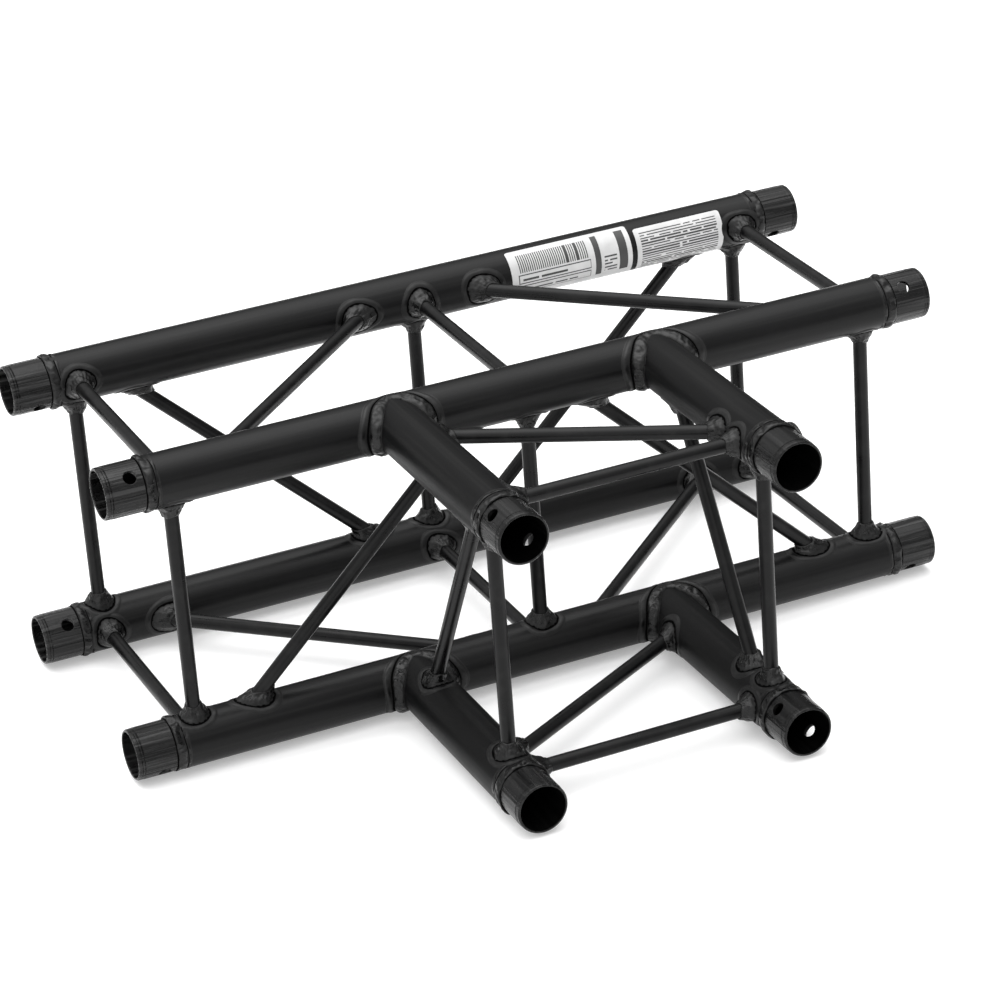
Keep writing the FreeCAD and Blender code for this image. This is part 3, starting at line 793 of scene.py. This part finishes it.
def paint(name, tone, rough, stretch, grain, gloss, depth=0.0004, sheen_tone=0.006, painted_crevice_shade=False):
    """Black satin paint: slight mottling, drawn streaks and lighter streaks of painted sheen along
    stretch, and a fine peel.

    grain scales the bumps, gloss is the specular level, depth is the streaks' depth, and the tone after
    it is that of the lighter streaks, a painted sheen. When asked, the mesh's crevice values paint shade
    into it: darker, and duller.
    """
    material, tree, shader = new_material(name)
    links = tree.links
    place = tree.nodes.new("ShaderNodeTexCoord").outputs["Object"]
    stretched = add_node(tree, "ShaderNodeMapping", Scale=stretch)
    links.new(place, stretched.inputs["Vector"])
    streaks = add_node(tree, "ShaderNodeTexNoise", Scale=1.0, Detail=5.0)
    links.new(stretched.outputs["Vector"], streaks.inputs["Vector"])
    mottle = add_node(tree, "ShaderNodeTexNoise", Scale=38.0, Detail=6.0, Roughness=0.62)
    links.new(place, mottle.inputs["Vector"])
    peel = add_node(tree, "ShaderNodeTexNoise", Scale=900.0, Detail=2.0)
    links.new(place, peel.inputs["Vector"])
    both = tree.nodes.new("ShaderNodeMix")
    links.new(streaks.outputs["Fac"], both.inputs["A"])
    links.new(mottle.outputs["Fac"], both.inputs["B"])
    colour = tree.nodes.new("ShaderNodeValToRGB")
    low, high = colour.color_ramp.elements
    low.position, high.position = 0.3, 0.72
    low.color = (*(0.5 * t for t in tone), 1)
    high.color = (*(1.5 * t for t in tone), 1)
    links.new(both.outputs["Result"], colour.inputs["Fac"])
    shine = add_node(
        tree, "ShaderNodeMapRange", From_Min=0.3, From_Max=0.7, To_Min=rough - 0.06, To_Max=rough + 0.08
    )
    links.new(both.outputs["Result"], shine.inputs["Value"])
    # Lighter streaks along stretch: a painted sheen.
    sheen_streaks = add_node(tree, "ShaderNodeMapRange", From_Min=0.53, From_Max=0.66, To_Min=0.0, To_Max=1.0)
    links.new(streaks.outputs["Fac"], sheen_streaks.inputs["Value"])
    sheen_mix = tree.nodes.new("ShaderNodeMix")
    sheen_mix.data_type = "RGBA"
    sheen_mix.inputs["B"].default_value = (sheen_tone, sheen_tone, sheen_tone, 1)
    links.new(sheen_streaks.outputs["Result"], sheen_mix.inputs["Factor"])
    links.new(colour.outputs["Color"], sheen_mix.inputs["A"])
    tint, matt = sheen_mix.outputs["Result"], shine.outputs["Result"]
    # Painted shade: the mesh's crevice values darken the tone towards the blackest one and make the
    # paint duller.
    if painted_crevice_shade:
        shade = tree.nodes.new("ShaderNodeAttribute")
        shade.attribute_name = "painted_crevice_shade"
        painted_shade_mix = tree.nodes.new("ShaderNodeMix")
        painted_shade_mix.data_type = "RGBA"
        painted_shade_mix.inputs["B"].default_value = (*PAINTED_CREVICE_BLACK, 1)
        links.new(shade.outputs["Fac"], painted_shade_mix.inputs["Factor"])
        links.new(tint, painted_shade_mix.inputs["A"])
        tint = painted_shade_mix.outputs["Result"]
        matter = tree.nodes.new("ShaderNodeMix")
        matter.inputs["B"].default_value = 0.85
        links.new(shade.outputs["Fac"], matter.inputs["Factor"])
        links.new(matt, matter.inputs["A"])
        matt = matter.outputs["Result"]
    links.new(tint, shader.inputs["Base Color"])
    links.new(matt, shader.inputs["Roughness"])
    fine = add_node(tree, "ShaderNodeBump", Strength=min(1.0, 0.18 * grain), Distance=0.0002)
    links.new(peel.outputs["Fac"], fine.inputs["Height"])
    drawn = add_node(tree, "ShaderNodeBump", Strength=min(1.0, 0.25 * grain), Distance=depth)
    links.new(streaks.outputs["Fac"], drawn.inputs["Height"])
    links.new(fine.outputs["Normal"], drawn.inputs["Normal"])
    links.new(drawn.outputs["Normal"], shader.inputs["Normal"])
    shader.inputs["Specular IOR Level"].default_value = gloss
    return material


def printed(name, tone, rough):
    """Printed film: a slightly uneven tone and a fine surface."""
    material, tree, shader = new_material(name)
    place = tree.nodes.new("ShaderNodeTexCoord").outputs["Object"]
    cloud = add_node(tree, "ShaderNodeTexNoise", Scale=120.0, Detail=4.0)
    tree.links.new(place, cloud.inputs["Vector"])
    colour = tree.nodes.new("ShaderNodeValToRGB")
    low, high = colour.color_ramp.elements
    low.position, high.position = 0.3, 0.7
    low.color = (*(0.86 * t for t in tone), 1)
    high.color = (*tone, 1)
    tree.links.new(cloud.outputs["Fac"], colour.inputs["Fac"])
    tree.links.new(colour.outputs["Color"], shader.inputs["Base Color"])
    fine = add_node(tree, "ShaderNodeBump", Strength=0.05, Distance=0.0002)
    tree.links.new(cloud.outputs["Fac"], fine.inputs["Height"])
    tree.links.new(fine.outputs["Normal"], shader.inputs["Normal"])
    shader.inputs["Roughness"].default_value = rough
    return material


BLACK = (0.0026, 0.0026, 0.0028)
DEEP = (0.0011, 0.0011, 0.0012)
along_x = paint("tube_paint_x", BLACK, 0.33, (5, 230, 230), 1.6, 0.18)
along_y = paint("tube_paint_y", BLACK, 0.45, (230, 5, 230), 1.6, 0.12)
bar_paint = paint("bar_paint", BLACK, 0.29, (90, 90, 90), 0.5, 0.19)
# The weld paint, and a near-black paint laid in the grooves: painted shade.
weld_paints = (
    paint("weld_paint", DEEP, 0.24, (160, 160, 160), 1.4, 0.31, painted_crevice_shade=True),
    paint("groove_painted_shade", (0.0005, 0.0005, 0.0005), 0.9, (160, 160, 160), 1.0, 0.03, sheen_tone=0.0008),
)
coupler_paints = {
    # The last number of each coupler paint is its painted sheen, strongest in the main couplers' bores.
    "x": (
        paint("coupler_paint_x", DEEP, 0.20, (8, 400, 400), 4.0, 0.25, 0.0012, 0.030),
        paint("bore_paint_x", DEEP, 0.28, (8, 300, 300), 4.0, 0.4, 0.0014, 0.040),
    ),
    "y": (
        paint("coupler_paint_y", DEEP, 0.22, (400, 8, 400), 4.0, 0.24, 0.0007, 0.014),
        # The branch couplers' bores are darker and duller than their outsides: painted shade inside the
        # sockets.
        paint("bore_paint_y", (0.0007, 0.0007, 0.0007), 0.5, (300, 8, 300), 3.0, 0.06, 0.0004, 0.002),
    ),
}
label_film = printed("label_film", (0.60, 0.60, 0.60), 0.42)
label_ink = printed("label_ink", (0.04, 0.04, 0.04), 0.5)


def assign(name, material):
    """Gives a CAD node its material."""
    data = nodes[name].data
    data.materials.clear()
    data.materials.append(material)
    data.polygons.foreach_set("material_index", [0] * len(data.polygons))


for name in nodes:
    if name.startswith("main_chord"):
        assign(name, along_x)
    elif name.startswith("branch_chord"):
        assign(name, along_y)
    elif name in BRACE_NODES:
        assign(name, bar_paint)

build_brace_beads(weld_paints)
build_ring_beads(weld_paints)
build_saddle_beads(weld_paints)
build_couplers(coupler_paints)
label_piece("long", long_print, label_film, label_ink)
label_piece("short", short_print, label_film, label_ink)


# ---------------------------------------------------------------- floor, light and camera

FLOOR_REACH = 14.0
FLOOR_DROP = 0.5 * MM
FLOOR_TONE = 0.75
FLOOR_GLOW = 0.3


def build_floor():
    """A plain pale matt floor with a faint light of its own."""
    material, _, shader = new_material("floor")
    shader.inputs["Base Color"].default_value = (FLOOR_TONE, FLOOR_TONE, FLOOR_TONE, 1)
    shader.inputs["Roughness"].default_value = 0.9
    shader.inputs["Emission Color"].default_value = (1, 1, 1, 1)
    shader.inputs["Emission Strength"].default_value = FLOOR_GLOW
    mesh = bpy.data.meshes.new("floor")
    corners = [(x * FLOOR_REACH, y * FLOOR_REACH, 0) for x, y in ((-1, -1), (1, -1), (1, 1), (-1, 1))]
    mesh.from_pydata(corners, [], [(0, 1, 2, 3)])
    mesh.materials.append(material)
    floor = bpy.data.objects.new("floor", mesh)
    floor.location.z = -FLOOR_DROP
    bpy.context.scene.collection.objects.link(floor)


def rising(tree, source, low, high, top):
    """A smooth step of a socket's value: 0 below low, top above high."""
    step = add_node(tree, "ShaderNodeMapRange", From_Min=low, From_Max=high, To_Min=0.0, To_Max=top)
    step.interpolation_type = "SMOOTHSTEP"
    tree.links.new(source, step.inputs["Value"])
    return step.outputs["Result"]


def calculate(tree, operation, first, second):
    """A math node of two sockets, or of a socket and a number."""
    node = tree.nodes.new("ShaderNodeMath")
    node.operation = operation
    tree.links.new(first, node.inputs[0])
    if isinstance(second, float):
        node.inputs[1].default_value = second
    else:
        tree.links.new(second, node.inputs[1])
    return node.outputs["Value"]


# Strengths of the light overhead and of the light from all round.
CEILING = 4.4
AMBIENT = 0.13


def studio_world():
    """A dim studio with a broad light overhead, a lighter front and a low light at the back left."""
    world = bpy.data.worlds.new("studio")
    world.use_nodes = True
    tree = world.node_tree
    way = tree.nodes.new("ShaderNodeTexCoord").outputs["Generated"]
    parts = tree.nodes.new("ShaderNodeSeparateXYZ")
    tree.links.new(way, parts.inputs["Vector"])
    right, back, height = (parts.outputs[axis] for axis in "XYZ")
    left = calculate(tree, "MULTIPLY", right, -1.0)
    front = calculate(tree, "MULTIPLY", back, -1.0)
    overhead = calculate(
        tree, "ADD", calculate(tree, "MULTIPLY", height, 0.985), calculate(tree, "MULTIPLY", back, 0.17)
    )
    overhead = calculate(tree, "POWER", calculate(tree, "MAXIMUM", overhead, 0.0), 5.0)
    ceiling = calculate(tree, "MULTIPLY", overhead, CEILING)
    front_wall = rising(tree, front, -0.3, 0.6, 0.75)
    left_wall = rising(tree, left, 0.0, 0.5, 0.55)
    walls = calculate(tree, "ADD", front_wall, left_wall)
    walls = calculate(tree, "MULTIPLY", walls, rising(tree, height, 0.02, 0.24, 1.0))
    strip = calculate(
        tree, "SUBTRACT", rising(tree, height, 0.07, 0.13, 1.4), rising(tree, height, 0.15, 0.26, 1.4)
    )
    strip = calculate(tree, "MULTIPLY", strip, rising(tree, left, 0.2, 0.42, 1.0))
    total = calculate(tree, "ADD", calculate(tree, "ADD", walls, ceiling), strip)
    total = calculate(tree, "ADD", total, AMBIENT)
    tree.links.new(total, tree.nodes["Background"].inputs["Strength"])
    tree.nodes["Background"].inputs["Color"].default_value = (1, 1, 1, 1)
    bpy.context.scene.world = world


CAMERA_PLACE = (-0.90065, -2.10170, 1.21727)
CAMERA_LENS = 139.448
CAMERA_SENSOR = 36.0
CAMERA_FAR = 60.0
AZIMUTH, ELEVATION, ROLL = math.radians(22.691), math.radians(25.529), math.radians(-4.238)


def place_camera():
    """The scene's camera, turned by its azimuth from +Y, its elevation and its roll."""
    flat = math.cos(ELEVATION)
    forward = np.array([math.sin(AZIMUTH) * flat, math.cos(AZIMUTH) * flat, -math.sin(ELEVATION)])
    level = np.array([math.cos(AZIMUTH), -math.sin(AZIMUTH), 0.0])
    upright = np.cross(level, forward)
    image_right = math.cos(ROLL) * level + math.sin(ROLL) * upright
    image_up = -math.sin(ROLL) * level + math.cos(ROLL) * upright
    data = bpy.data.cameras.new("camera")
    data.lens = CAMERA_LENS
    data.sensor_width = CAMERA_SENSOR
    data.clip_end = CAMERA_FAR
    camera = bpy.data.objects.new("camera", data)
    rows = [[image_right[i], image_up[i], -forward[i], CAMERA_PLACE[i]] for i in range(3)]
    camera.matrix_world = Matrix([*rows, [0, 0, 0, 1]])
    bpy.context.scene.collection.objects.link(camera)
    bpy.context.scene.camera = camera


build_floor()
studio_world()
bpy.context.scene.view_settings.view_transform = "Standard"
place_camera()
